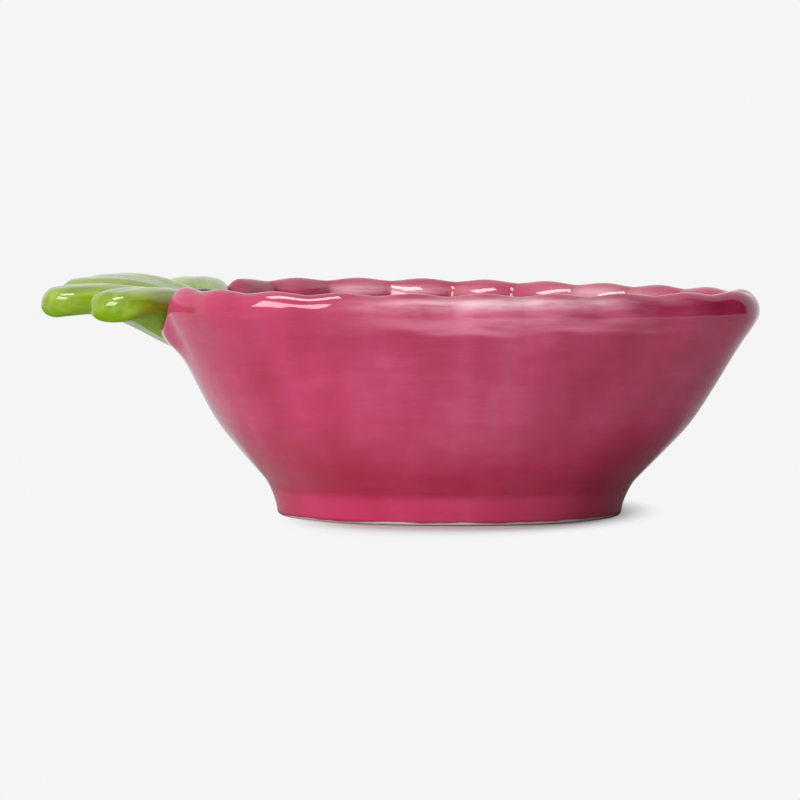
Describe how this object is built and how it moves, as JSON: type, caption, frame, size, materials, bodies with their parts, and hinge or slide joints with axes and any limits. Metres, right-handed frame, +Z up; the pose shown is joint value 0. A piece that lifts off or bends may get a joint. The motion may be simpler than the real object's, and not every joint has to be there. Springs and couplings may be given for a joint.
{
  "type": "ceramic bowl",
  "caption": "Glazed ceramic bowl in the form of a raspberry, with drupelet relief inside, a scalloped rim, an oval foot and a calyx of sepals as its handle.",
  "frame": {"origin": "middle of the whole object's outline in plan, on the table under the foot", "axes": "+X along the bowl's length towards the berry's tip, with the calyx at -X, +Z up, +Y across"},
  "size_m": [0.179, 0.1138, 0.0591],
  "materials": {
    "raspberry_glaze": "glossy raspberry-pink glaze, brushed in soft level strokes",
    "leaf_glaze": "glossy yellow-green glaze, brushed along the sepals",
    "dark_glaze": "glossy near-black glaze"
  },
  "bodies": {
    "root": {"bowl_wall": "raspberry_glaze", "foot_ring": "raspberry_glaze", "calyx_hub": "leaf_glaze", "stalk_stub": "dark_glaze", "sepal_front": "leaf_glaze", "sepal_long": "leaf_glaze", "sepal_middle": "leaf_glaze", "sepal_rear": "leaf_glaze", "sepal_back": "leaf_glaze"}
  },
  "joints": []
}
